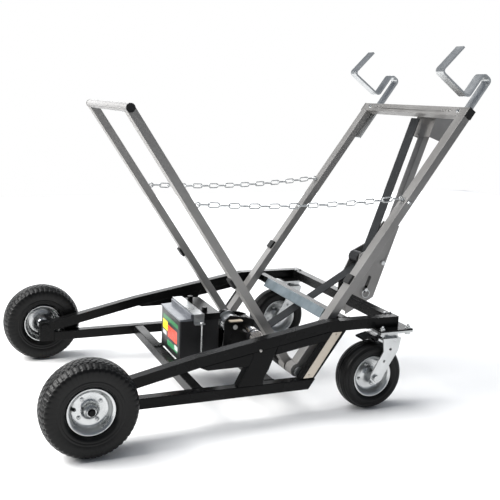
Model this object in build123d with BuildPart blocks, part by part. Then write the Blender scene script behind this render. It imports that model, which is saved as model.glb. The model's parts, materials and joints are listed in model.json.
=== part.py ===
from build123d import *
from math import asin
from math import atan2
from math import cos
from math import hypot
from math import pi
from math import radians
from math import sin
from math import sqrt
import os

os.makedirs("parts", exist_ok=True)

# Powered kart lift stand. Millimetres. +Z is up and Z = 0 is the floor.
# +X runs from the front wheels and the push bar towards the castors and the hooks.
# Y = 0 is the middle plane. Left is -Y and right is +Y.
# Every X below is a station measured from the front axle; st() moves it into the model.
front_axle_x = -614.75


def st(x):
    return x + front_axle_x


sides = (("left", -1), ("right", 1))

# Square tube of the base frame
rail = 31.75
rail_wall = 2.0
frame_outer = 352.0
frame_inner = frame_outer - rail
rail_mid = frame_outer - rail / 2

# Top rail, lower rail and the two posts, as stations and heights
block_back = 30.0
top_line = [(block_back, 154.3), (325.0, 219.8), (735.0, 291.5), (983.0, 290.0)]
lower_top = 115.75
lower_bottom = lower_top - rail
lower_end = 679.0
frame_back = 983.0
frame_top = 290.0
frame_under = frame_top - rail

# Front wheels, 4.10/3.50-4 tyres on 4 inch rims
wheel_r = 132.5
wheel_y = 408.0
tyre_half = 46.0
rim_flange_r = 65.0
rim_seat_r = 51.0
rim_half = 34.0
stub_r = 9.5
run_fit = 0.05

# Castors, 2.80/2.50-4 tyres on 4 inch rims
castor_r = 107.0
castor_tyre_half = 35.0
castor_rim_half = 28.0
castor_x = 956.0
castor_y = 337.0
castor_trail = 62.0
castor_axle_r = 6.35
kingpin_r = 6.0

# Pivot shaft that carries the lift frame and the push frame
pivot_x = 661.0
pivot_z = 130.0
pivot_r = 9.5
hub_r = 21.0

# Lift frame: two arms, a cross bar and two hooks
arm_w = 38.1
arm_d = 25.4
arm_wall = 2.0
lift_angle = 54.5
lift_len = 975.0
lift_y = 285.3
hook_y = 258.0
hook_w = 38.1
hook_t = 6.35

# Push frame: two arms, a round bar and a hub tube
push_angle = 123.6
push_len = 933.3
push_y = 237.6
bar_r = 12.7

# Mast, guide roller and strap
mast_angle = 70.7
mast_w = 31.75
mast_d = 25.4
mast_x = 1081.0
mast_z = 266.2
mast_len = 655.0
roller_x = 1040.0
roller_z = 402.0
roller_r = 22.0
foot_in = 27.0
foot_t = 5.0
hitch_x = 1058.0
hitch_z = 292.0
strap_w = 50.0
strap_t = 2.0

# Winch
drum_x = 563.0
drum_z = 197.0
motor_x = 603.0
motor_z = 184.0

# Battery
batt_x0 = 352.0
batt_len = 131.0
batt_half = 98.5
batt_z0 = 118.0


def side_plane(y):
    """Sketch plane facing -Y at this Y, so an extrusion runs towards -Y."""
    return Plane.XZ.offset(-y)


def tilted(x, z, angle, s=0.0, t=0.0, y=0.0):
    """Plane across a member that leans at this angle; its normal runs up the member."""
    a = radians(angle)
    px = st(x) + s * cos(a) + t * sin(a)
    pz = z + s * sin(a) - t * cos(a)
    return Plane(origin=(px, y, pz), x_dir=(sin(a), 0, -cos(a)), z_dir=(cos(a), 0, sin(a)))


def along(x, z, angle, s, t):
    """Point at distance s up a leaning member and t behind its middle line."""
    a = radians(angle)
    return (st(x) + s * cos(a) + t * sin(a), z + s * sin(a) - t * cos(a))


def below(line, depth):
    """Points of a polyline moved down, square to each of its segments."""
    slopes = []
    for (x0, z0), (x1, z1) in zip(line[:-1], line[1:]):
        m = (z1 - z0) / (x1 - x0)
        slopes.append((m, z0 - m * x0 - depth * sqrt(1 + m * m)))
    points = [(line[0][0], slopes[0][0] * line[0][0] + slopes[0][1])]
    for (m0, b0), (m1, b1) in zip(slopes[:-1], slopes[1:]):
        x = (b1 - b0) / (m0 - m1)
        points.append((x, m0 * x + b0))
    points.append((line[-1][0], slopes[-1][0] * line[-1][0] + slopes[-1][1]))
    return points


def moved(points):
    return [(st(x), z) for x, z in points]


# ---------------------------------------------------------------- base frame
for side, sign in sides:
    with BuildPart() as top_rail:
        with BuildSketch(side_plane(sign * rail_mid + rail / 2)):
            Polygon(*moved(top_line + below(top_line, rail)[::-1]), align=None)
        extrude(amount=rail)
        inner_line = below(top_line, rail_wall)
        inner_under = below(top_line, rail - rail_wall)
        with BuildSketch(side_plane(sign * rail_mid + rail / 2 - rail_wall)):
            Polygon(*moved(inner_line + inner_under[::-1]), align=None)
        extrude(amount=rail - 2 * rail_wall, mode=Mode.SUBTRACT)
    top_rail.part.label = "top_rail_" + side
    export_step(top_rail.part, "parts/top_rail_" + side + ".step")

    with BuildPart() as lower_rail:
        with BuildSketch(side_plane(sign * rail_mid + rail / 2)):
            Polygon(
                (st(block_back), lower_bottom),
                (st(lower_end), lower_bottom),
                (st(lower_end + 22.1), lower_top),
                (st(block_back), lower_top),
                align=None,
            )
        extrude(amount=rail)
        with BuildSketch(side_plane(sign * rail_mid + rail / 2 - rail_wall)):
            Polygon(
                (st(block_back), lower_bottom + rail_wall),
                (st(lower_end - 4), lower_bottom + rail_wall),
                (st(lower_end + 15), lower_top - rail_wall),
                (st(block_back), lower_top - rail_wall),
                align=None,
            )
        extrude(amount=rail - 2 * rail_wall, mode=Mode.SUBTRACT)
    lower_rail.part.label = "lower_rail_" + side
    export_step(lower_rail.part, "parts/lower_rail_" + side + ".step")

    # Wide post in the middle, with the web that deepens the top rail on both sides of it
    with BuildPart() as mid_post:
        with BuildSketch(side_plane(sign * rail_mid + rail / 2)):
            Polygon(
                (st(447.0), lower_top),
                (st(527.0), lower_top),
                (st(527.0), 131.0),
                (st(545.0), 163.0),
                (st(571.0), 230.3),
                (st(492.0), 216.4),
                (st(492.0), 203.0),
                align=None,
            )
        extrude(amount=rail)
    # Flat web under the top rail, flush with its outer face
    web_y = frame_outer if sign > 0 else -frame_outer + 6.0
    with BuildPart() as rail_web:
        with BuildSketch(side_plane(web_y)):
            Polygon(
                (st(328.0), 187.6),
                (st(352.0), 177.0),
                (st(478.5), 177.0),
                (st(491.9), 203.0),
                (st(491.9), 216.3),
                align=None,
            )
            Polygon(
                (st(563.0), 204.0),
                (st(596.0), 209.0),
                (st(735.0), 233.6),
                (st(751.5), 258.4),
                (st(738.0), 258.6),
                (st(571.2), 230.2),
                align=None,
            )
        extrude(amount=6.0)
    post_and_web = Compound(children=mid_post.part.solids() + rail_web.part.solids())
    post_and_web.label = "mid_post_" + side
    export_step(post_and_web, "parts/mid_post_" + side + ".step")

    # Slanted rear post between the lower rail and the back of the top rail
    post_start = sign * rail_mid + rail / 2 - 6.2 * (sign > 0)
    with BuildPart() as rear_post:
        with BuildSketch(side_plane(post_start)):
            Polygon(
                (st(651.0), lower_top + 0.1),
                (st(701.0), lower_top + 0.1),
                (st(802.0), 258.2),
                (st(752.0), 258.2),
                align=None,
            )
        extrude(amount=rail - 6.2)
        with BuildSketch(side_plane(post_start - rail_wall)):
            Polygon(
                (st(656.0), lower_top + 4),
                (st(699.0), lower_top + 4),
                (st(797.0), 255.0),
                (st(754.0), 255.0),
                align=None,
            )
        extrude(amount=rail - 6.2 - 2 * rail_wall, mode=Mode.SUBTRACT)
    rear_post.part.label = "rear_post_" + side
    export_step(rear_post.part, "parts/rear_post_" + side + ".step")

    # Axle block that closes the front of the frame, with the stub axle through it
    with BuildPart() as axle_block:
        with BuildSketch(side_plane(sign * rail_mid + rail / 2)):
            Polygon(
                (st(-20.0), 86.0),
                (st(-14.0), lower_bottom),
                (st(block_back - 0.05), lower_bottom),
                (st(block_back - 0.05), 154.2),
                (st(-20.0), 148.0),
                align=None,
            )
        extrude(amount=rail)
        with Locations(Location((st(0), sign * rail_mid, wheel_r), (90, 0, 0))):
            Cylinder(stub_r + 0.02, rail + 2, mode=Mode.SUBTRACT)
    with BuildPart() as stub_axle:
        with BuildSketch(Plane.XY):
            with BuildLine():
                Polyline(
                    (0, frame_inner - 9),
                    (14, frame_inner - 9),
                    (14, frame_inner - 0.05),
                    (stub_r, frame_inner - 0.05),
                    (stub_r, wheel_y + 39),
                    (stub_r - 2, wheel_y + 41),
                    (0, wheel_y + 41),
                    close=True,
                )
            make_face()
        revolve(axis=Axis.Y)
    stub = stub_axle.part.moved(Location((st(0), 0, wheel_r)))
    if sign < 0:
        stub = stub.mirror(Plane.XZ)
    block_and_stub = Compound(children=axle_block.part.solids() + stub.solids())
    block_and_stub.label = "axle_block_" + side
    export_step(block_and_stub, "parts/axle_block_" + side + ".step")

# Two bare trim plates on the slanted posts, each held by two round-head screws
with BuildPart() as trim_plates:
    for sign in (-1, 1):
        y0 = sign * (frame_outer - 6.0)
        with BuildSketch(side_plane(y0 + (1.6 if sign > 0 else 0.0))):
            Polygon(
                (st(662.0), 119.0),
                (st(694.0), 119.0),
                (st(786.0), 255.0),
                (st(754.0), 255.0),
                align=None,
            )
        extrude(amount=1.6)
        with Locations(
            Location((st(681.0), y0 + sign * 1.6, 127.0), (-90 * sign, 0, 0)),
            Location((st(767.0), y0 + sign * 1.6, 247.0), (-90 * sign, 0, 0)),
        ):
            Cone(3.6, 2.0, 1.8, align=(Align.CENTER, Align.CENTER, Align.MIN))
trim_plates.part.label = "trim_plates"
export_step(trim_plates.part, "parts/trim_plates.step")

# Cross tubes. The rear one ties the top rails, the middle one is the lift frame's back rest.
with BuildPart() as rear_tube:
    with Locations((st(frame_back - rail / 2), 0, frame_top - rail / 2)):
        Box(rail, 2 * frame_inner, rail)
        Box(rail - 2 * rail_wall, 2 * frame_inner, rail - 2 * rail_wall, mode=Mode.SUBTRACT)
    # Two ears on its back face take the hitch pin of the mast
    for y in (25.0, -20.0):
        with BuildSketch(side_plane(y)):
            Polygon(
                (st(frame_back), 260.0),
                (st(frame_back), 288.0),
                (st(1052.0), 308.0),
                (st(1074.0), 300.0),
                (st(1072.0), 282.0),
                align=None,
            )
        extrude(amount=5.0)
    with Locations(Location((st(hitch_x), 0, hitch_z), (90, 0, 0))):
        Cylinder(6.0, 60.0, mode=Mode.SUBTRACT)
rear_tube.part.label = "rear_tube"
export_step(rear_tube.part, "parts/rear_tube.step")

with BuildPart() as mid_tube:
    with Locations((st(812.7), 0, 275.3)):
        Box(25.4, 2 * frame_inner, 25.4)
        Box(25.4 - 2 * rail_wall, 2 * frame_inner, 25.4 - 2 * rail_wall, mode=Mode.SUBTRACT)
# Galvanised flat bar that leans on the middle tube
with BuildPart() as mid_pad:
    with BuildSketch(side_plane(214.0)):
        Polygon(
            (st(800.0), 288.0),
            (st(795.8), 290.6),
            (st(777.5), 262.6),
            (st(781.7), 260.0),
            align=None,
        )
    extrude(amount=428.0)
tube_and_pad = Compound(children=mid_tube.part.solids() + mid_pad.part.solids())
tube_and_pad.label = "mid_tube"
export_step(tube_and_pad, "parts/mid_tube.step")

with BuildPart() as front_tube:
    with Locations((st(334.0), 0, lower_top - rail / 2)):
        Box(rail, 2 * frame_inner, rail)
        Box(rail - 2 * rail_wall, 2 * frame_inner, rail - 2 * rail_wall, mode=Mode.SUBTRACT)
front_tube.part.label = "front_tube"
export_step(front_tube.part, "parts/front_tube.step")

with BuildPart() as winch_tube:
    with Locations((st(561.0), 0, lower_top - rail / 2)):
        Box(rail, 2 * frame_inner, rail)
        Box(rail - 2 * rail_wall, 2 * frame_inner, rail - 2 * rail_wall, mode=Mode.SUBTRACT)
winch_tube.part.label = "winch_tube"
export_step(winch_tube.part, "parts/winch_tube.step")

# Two lengthwise flat bars under the battery and the winch
with BuildPart() as tray_bars:
    for sign in (-1, 1):
        with Locations((st(420.0), sign * 86.0, lower_top + 1.1)):
            Box(203.0, 30.0, 2.2)
tray_bars.part.label = "tray_bars"
export_step(tray_bars.part, "parts/tray_bars.step")

# ---------------------------------------------------------------- battery
batt_mid = batt_x0 + batt_len / 2
case_top = 248.0
with BuildPart() as battery_case:
    with Locations((st(batt_mid), 0, batt_z0)):
        Box(batt_len, 2 * batt_half, case_top - batt_z0, align=(Align.CENTER, Align.CENTER, Align.MIN))
    fillet(battery_case.edges().filter_by(Axis.Z), 4.0)
battery_case.part.label = "battery_case"
export_step(battery_case.part, "parts/battery_case.step")

with BuildPart() as battery_lid:
    with BuildSketch(side_plane(batt_half + 1.5)):
        Polygon(
            (st(batt_x0 - 1.5), case_top + 0.1),
            (st(batt_x0 + batt_len + 1.5), case_top + 0.1),
            (st(batt_x0 + batt_len + 1.5), 269.0),
            (st(batt_x0 + 34.0), 269.0),
            (st(batt_x0 + 34.0), 256.0),
            (st(batt_x0 - 1.5), 254.0),
            align=None,
        )
    extrude(amount=2 * batt_half + 3)
    with Locations((st(batt_x0 + 90.0), -70.0, 269.0), (st(batt_x0 + 90.0), 70.0, 269.0)):
        Cylinder(9.0, 14.0, align=(Align.CENTER, Align.CENTER, Align.MIN))
battery_lid.part.label = "battery_lid"
export_step(battery_lid.part, "parts/battery_lid.step")

# Hold-down: a bent strap over the lid and two threaded rods down to the angle irons
clamp_x = batt_x0 + 58.0
with BuildPart() as battery_clamp:
    with Locations((st(clamp_x), 0, 270.6)):
        Box(34.0, 2 * batt_half + 26.0, 3.0)
    for sign in (-1, 1):
        with Locations((st(clamp_x), sign * (batt_half + 11.5), 256.0)):
            Box(34.0, 3.0, 32.0)
        with Locations((st(clamp_x), sign * (batt_half + 17.0), 241.5)):
            Box(34.0, 14.0, 3.0)
    for sign in (-1, 1):
        with Locations((st(clamp_x + 8.0), sign * (batt_half + 18.0), 98.0)):
            Cylinder(2.8, 151.0, align=(Align.CENTER, Align.CENTER, Align.MIN))
        with Locations((st(clamp_x + 8.0), sign * (batt_half + 18.0), 243.1)):
            Cylinder(5.5, 5.0, align=(Align.CENTER, Align.CENTER, Align.MIN))
        with Locations((st(clamp_x + 8.0), sign * (batt_half + 10.5), 98.0)):
            Box(18.0, 19.0, 3.0)
battery_clamp.part.label = "battery_clamp"
export_step(battery_clamp.part, "parts/battery_clamp.step")

# ---------------------------------------------------------------- pivot shaft
with BuildPart() as pivot_shaft:
    with Locations(Location((st(pivot_x), 0, pivot_z), (90, 0, 0))):
        Cylinder(pivot_r, 2 * 320.0)
    for sign in (-1, 1):
        with Locations(Location((st(pivot_x), sign * 317.2, pivot_z), (90, 0, 0))):
            Cylinder(14.0, 5.5)
pivot_shaft.part.label = "pivot_shaft"
export_step(pivot_shaft.part, "parts/pivot_shaft.step")

# ---------------------------------------------------------------- winch
with BuildPart() as winch_base:
    with Locations((st(575.0), 0, lower_top + 2.5)):
        Box(118.0, 100.0, 5.0)
    for y in (-36.0, 36.0):
        with BuildSketch(side_plane(y + 3.0)):
            Polygon(
                (st(522.0), lower_top + 5.0),
                (st(632.0), lower_top + 5.0),
                (st(632.0), 218.0),
                (st(607.0), 226.0),
                (st(548.0), 236.0),
                (st(528.0), 222.0),
                align=None,
            )
        extrude(amount=6.0)
        with Locations(Location((st(drum_x), y, drum_z), (90, 0, 0))):
            Cylinder(8.0 + run_fit, 8.0, mode=Mode.SUBTRACT)
    with Locations((st(616.0), 0, 215.0)):
        Box(26.0, 66.0, 4.0)
    with Locations((st(561.0), -49.0, 221.0)):
        Box(44.0, 20.0, 3.0)

with BuildPart() as winch_gearbox:
    with BuildSketch(side_plane(62.0)):
        with Locations((st(drum_x), drum_z)):
            Circle(34.0)
        with Locations((st(motor_x), motor_z)):
            Circle(26.0)
    extrude(amount=22.9)
    with Locations(Location((st(drum_x), 50.0, drum_z), (90, 0, 0))):
        Cylinder(8.0 + run_fit, 30.0, mode=Mode.SUBTRACT)
base_and_gearbox = Compound(children=winch_base.part.solids() + winch_gearbox.part.solids())
base_and_gearbox.label = "winch_frame"
export_step(base_and_gearbox, "parts/winch_frame.step")

with BuildPart() as winch_motor:
    with Locations(Location((st(motor_x), -82.1, motor_z), (90, 0, 0))):
        Cylinder(23.0, 86.0)
    with Locations(Location((st(motor_x), -128.0, motor_z), (90, 0, 0))):
        Cylinder(20.0, 6.0)
    with Locations(Location((st(motor_x), -133.0, motor_z), (90, 0, 0))):
        Cylinder(7.0, 4.0)
winch_motor.part.label = "winch_motor"
export_step(winch_motor.part, "parts/winch_motor.step")

# Drum on its shaft, with the strap wound on it
with BuildPart() as winch_drum:
    with Locations(Location((st(drum_x), 9.0, drum_z), (90, 0, 0))):
        Cylinder(8.0, 106.0)
    with Locations(Location((st(drum_x), 0, drum_z), (90, 0, 0))):
        Cylinder(14.0, 60.0)
    for y in (-28.5, 28.5):
        with Locations(Location((st(drum_x), y, drum_z), (90, 0, 0))):
            Cylinder(37.0, 3.0)
with BuildPart() as strap_coil:
    with Locations(Location((st(drum_x), 0, drum_z), (90, 0, 0))):
        Cylinder(30.0, strap_w)
        Cylinder(14.0, strap_w + 1, mode=Mode.SUBTRACT)
drum_and_coil = Compound(children=winch_drum.part.solids() + strap_coil.part.solids())
drum_and_coil.label = "winch_drum"
export_step(drum_and_coil, "parts/winch_drum.step")

# Clutch knob on the free end of the drum shaft
with BuildPart() as clutch_knob:
    with Locations(Location((st(drum_x), 63.0, drum_z), (-90, 0, 0))):
        Cylinder(17.0, 15.0, align=(Align.CENTER, Align.CENTER, Align.MIN))
    fillet(clutch_knob.edges().filter_by(GeomType.CIRCLE).sort_by(Axis.Y)[-1], 3.0)
    with Locations(Location((st(drum_x), 79.0, drum_z), (-90, 0, 0))):
        with PolarLocations(17.5, 8):
            Cylinder(2.6, 60.0, mode=Mode.SUBTRACT)
clutch_knob.part.label = "clutch_knob"
export_step(clutch_knob.part, "parts/clutch_knob.step")

# ---------------------------------------------------------------- mast
with BuildPart() as mast_tube:
    with BuildSketch(tilted(mast_x, mast_z, mast_angle)):
        Rectangle(mast_d, mast_w)
        Rectangle(mast_d - 4, mast_w - 4, mode=Mode.SUBTRACT)
    extrude(amount=mast_len)
    with Locations(Location((st(1122.3), 0, 384.0), (90, 0, 0))):
        Cylinder(4.05, 60.0, mode=Mode.SUBTRACT)
mast_tube.part.label = "mast_tube"
export_step(mast_tube.part, "parts/mast_tube.step")

# Foot plates that straddle the mast and carry the guide roller, with a slot for the hitch pin
with BuildPart() as mast_foot:
    for y in (foot_in + foot_t, -foot_in):
        with BuildSketch(side_plane(y)):
            Polygon(
                (st(1093.0), 262.0),
                (st(1181.2), 514.0),
                (st(1154.5), 523.4),
                (st(1085.0), 446.0),
                (st(roller_x - 12.0), roller_z + 17.0),
                (st(roller_x - 17.0), roller_z - 8.0),
                (st(985.0), 316.0),
                (st(985.0), 206.0),
                align=None,
            )
        extrude(amount=foot_t)
    for s0 in (105.0, 235.0):
        for y in (-1, 1):
            with BuildSketch(tilted(mast_x, mast_z, mast_angle, s0, 0, y * (mast_w / 2 + foot_in) / 2)):
                Rectangle(mast_d - 4, foot_in - mast_w / 2 - 0.02)
            extrude(amount=30.0)
    with BuildSketch(side_plane(foot_in + foot_t + 1)):
        with Locations(Location((st(1064.6), 310.0, 0), (0, 0, mast_angle))):
            SlotOverall(64.0, 13.0)
    extrude(amount=2 * foot_in + 2 * foot_t + 2, mode=Mode.SUBTRACT)
    with Locations(Location((st(roller_x), 0, roller_z), (90, 0, 0))):
        Cylinder(6.02, 80.0, mode=Mode.SUBTRACT)
    with Locations(Location((st(1122.3), 0, 384.0), (90, 0, 0))):
        Cylinder(4.05, 80.0, mode=Mode.SUBTRACT)
    # Cross plate that bears on the back of the rear tube
    with Locations((st(987.0), 0, 236.0)):
        Box(4.0, 2 * foot_in, 40.0)
mast_foot.part.label = "mast_foot"
export_step(mast_foot.part, "parts/mast_foot.step")

# Hitch pin with its ring clip, and the bolt that ties the foot plates to the mast
with BuildPart() as mast_pins:
    with Locations(Location((st(hitch_x), 0, hitch_z), (90, 0, 0))):
        Cylinder(5.9, 84.0)
    with Locations(Location((st(hitch_x), -39.0, hitch_z - 14.0), (90, 0, 0))):
        Torus(14.0, 1.4)
    with Locations(Location((st(1122.3), 0, 384.0), (90, 0, 0))):
        Cylinder(4.0, 72.0)
    for y in (-1, 1):
        with Locations(Location((st(1122.3), y * (foot_in + foot_t + 3.05), 384.0), (90, 0, 0))):
            Cylinder(7.5, 6.0)
with BuildPart() as roller_pin:
    with Locations(Location((st(roller_x), 0, roller_z), (90, 0, 0))):
        Cylinder(6.0, 70.0)
    for y in (-1, 1):
        with Locations(Location((st(roller_x), y * 36.0, roller_z), (90, 0, 0))):
            Cylinder(9.0, 5.0)
all_pins = Compound(children=mast_pins.part.solids() + roller_pin.part.solids())
all_pins.label = "mast_pins"
export_step(all_pins, "parts/mast_pins.step")

with BuildPart() as guide_roller:
    with Locations(Location((st(roller_x), 0, roller_z), (90, 0, 0))):
        Cylinder(roller_r, 2 * foot_in - 0.8)
        Cylinder(6.0 + run_fit, 2 * foot_in, mode=Mode.SUBTRACT)
guide_roller.part.label = "guide_roller"
export_step(guide_roller.part, "parts/guide_roller.step")


# ---------------------------------------------------------------- strap
def bearing(a, b):
    """Distance from a to b and the angle of that line, in radians."""
    dx = b[0] - a[0]
    dz = b[1] - a[1]
    return hypot(dx, dz), atan2(dz, dx)


def step_off(p, angle, r):
    return (p[0] - r * sin(angle), p[1] + r * cos(angle))


def band(a, b, t):
    """Outline of a thin straight run of strap between two points."""
    angle = bearing(a, b)[1]
    return [step_off(a, angle, t), step_off(b, angle, t), step_off(b, angle, -t), step_off(a, angle, -t)]


strap_top = (st(1237.0), 890.0)
roller_c = (st(roller_x), roller_z)
hub_c = (st(pivot_x), pivot_z)
drum_c = (st(drum_x), drum_z)
r_roller = roller_r + 0.3 + strap_t / 2
r_hub = hub_r + 0.6 + strap_t / 2
r_drum = 30.0 + 0.1 + strap_t / 2

dist, delta = bearing(strap_top, roller_c)
heading_top = delta + asin(r_roller / dist)
strap_a = step_off(roller_c, heading_top, r_roller)
dist, delta = bearing(roller_c, hub_c)
heading_mid = delta - asin((r_roller + r_hub) / dist)
strap_b = step_off(roller_c, heading_mid, r_roller)
strap_c = step_off(hub_c, heading_mid, -r_hub)
dist, delta = bearing(hub_c, drum_c)
heading_low = delta + asin((r_hub + r_drum) / dist)
strap_d = step_off(hub_c, heading_low, -r_hub)
strap_e = step_off(drum_c, heading_low, r_drum)

with BuildPart() as strap_upper:
    with BuildSketch(side_plane(strap_w / 2)):
        Polygon(*band(strap_top, strap_a, strap_t / 2), align=None)
    extrude(amount=strap_w)
strap_upper.part.label = "strap_upper"
export_step(strap_upper.part, "parts/strap_upper.step")


def wrap(centre, r, a, b, t):
    """Outline of a strap bent round a centre between two of its points."""
    a0 = bearing(centre, a)[1]
    a1 = bearing(centre, b)[1]
    turn = (a1 - a0 + pi) % (2 * pi) - pi
    steps = 12
    outer = []
    inner = []
    for i in range(steps + 1):
        angle = a0 + turn * i / steps
        outer.append((centre[0] + (r + t) * cos(angle), centre[1] + (r + t) * sin(angle)))
        inner.append((centre[0] + (r - t) * cos(angle), centre[1] + (r - t) * sin(angle)))
    return outer + inner[::-1]


with BuildPart() as strap_lower:
    with BuildSketch(side_plane(strap_w / 2)):
        Polygon(*wrap(roller_c, r_roller, strap_a, strap_b, strap_t / 2), align=None)
        Polygon(*band(strap_b, strap_c, strap_t / 2), align=None)
        Polygon(*wrap(hub_c, r_hub, strap_c, strap_d, strap_t / 2), align=None)
        Polygon(*band(strap_d, strap_e, strap_t / 2), align=None)
    extrude(amount=strap_w)
strap_lower.part.label = "strap_lower"
export_step(strap_lower.part, "parts/strap_lower.step")

# ---------------------------------------------------------------- wheels
def ring(profile, centre, name):
    """Body turned about a Y line; the profile holds (radius, y) points."""
    with BuildPart() as turned:
        with BuildSketch(Plane.XY):
            with BuildLine():
                Polyline(*profile, close=True)
            make_face()
        revolve(axis=Axis.Y)
    body = turned.part.moved(Location(centre))
    body.label = name
    return body


def tyre_profile(r, half, seat, rim):
    """Hollow tyre: beads between the rim flanges, round sidewalls and a flat grooved tread."""
    wall = 7.0
    outside = [
        (seat + 0.3, rim - 3.5),
        (rim_flange_r + 1.0, rim - 3.5),
        (rim_flange_r + 7.0, half - 4.5),
        ((r + rim_flange_r) / 2 - 6.0, half),
        ((r + rim_flange_r) / 2 + 10.0, half - 0.8),
        (r - 12.0, half - 5.0),
        (r - 4.0, half - 11.0),
        (r, half * 0.62),
    ]
    grooves = []
    for y in (half * 0.42, half * 0.04):
        grooves += [(r, y + 2.2), (r - 4.0, y + 1.2), (r - 4.0, y - 1.2), (r, y - 2.2)]
    upper = outside + grooves[:4]
    lower = [(a, -b) for a, b in upper[::-1]]
    inner_half = [
        (seat + 0.3, rim - 3.5 - wall),
        (rim_flange_r + 5.0, rim - 3.5 - wall),
        ((r + rim_flange_r) / 2, half - wall),
        (r - 12.0, half - wall - 8.0),
        (r - wall - 4.0, half * 0.4),
    ]
    inner = [(a, -b) for a, b in inner_half] + inner_half[::-1]
    middle = [(r, 2.4), (r - 4.0, 1.4), (r - 4.0, -1.4), (r, -2.4)]
    return upper + middle + lower + inner


for side, sign in sides:
    centre = (st(0), sign * wheel_y, wheel_r)
    tyre = ring(tyre_profile(wheel_r, tyre_half, rim_seat_r, rim_half), centre, "front_tyre_" + side)
    export_step(tyre, "parts/front_tyre_" + side + ".step")

    with BuildPart() as front_rim:
        with BuildSketch(Plane.XY):
            with BuildLine():
                Polyline(
                    (stub_r + run_fit, -38.0),
                    (20.0, -38.0),
                    (20.0, 8.0),
                    (44.0, 8.0),
                    (rim_seat_r - 2.8, 2.0),
                    (rim_seat_r - 2.8, -rim_half + 2.8),
                    (rim_flange_r - 1.0, -rim_half),
                    (rim_flange_r, -rim_half + 1.0),
                    (rim_flange_r, -rim_half + 3.0),
                    (rim_seat_r, -rim_half + 3.2),
                    (rim_seat_r, rim_half - 3.2),
                    (rim_flange_r, rim_half - 3.0),
                    (rim_flange_r, rim_half - 1.0),
                    (rim_flange_r - 1.0, rim_half),
                    (rim_seat_r - 2.8, rim_half - 2.8),
                    (rim_seat_r - 2.8, 12.0),
                    (45.0, 12.0),
                    (26.0, 12.0),
                    (20.0, 18.0),
                    (20.0, 34.0),
                    (stub_r + run_fit, 34.0),
                    close=True,
                )
            make_face()
        revolve(axis=Axis.Y)
        with Locations(Location((0, 8.0, 0), (-90, 0, 0))):
            with PolarLocations(33.0, 4):
                Cylinder(5.5, 9.0, align=(Align.CENTER, Align.CENTER, Align.MIN))
        with Locations(Location((40.0, 8.0, 0), (-90, 0, 0))):
            Cylinder(3.2, 30.0, align=(Align.CENTER, Align.CENTER, Align.MIN))
    rim_body = front_rim.part
    if sign < 0:
        rim_body = rim_body.mirror(Plane.XZ)
    rim_body = rim_body.moved(Location(centre))
    rim_body.label = "front_rim_" + side
    export_step(rim_body, "parts/front_rim_" + side + ".step")

# ---------------------------------------------------------------- castors
castor_wheel_x = castor_x - castor_trail
plate_top = 253.0
plate_bottom = 247.0
crown_top = 245.5
crown_bottom = 226.0

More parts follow.
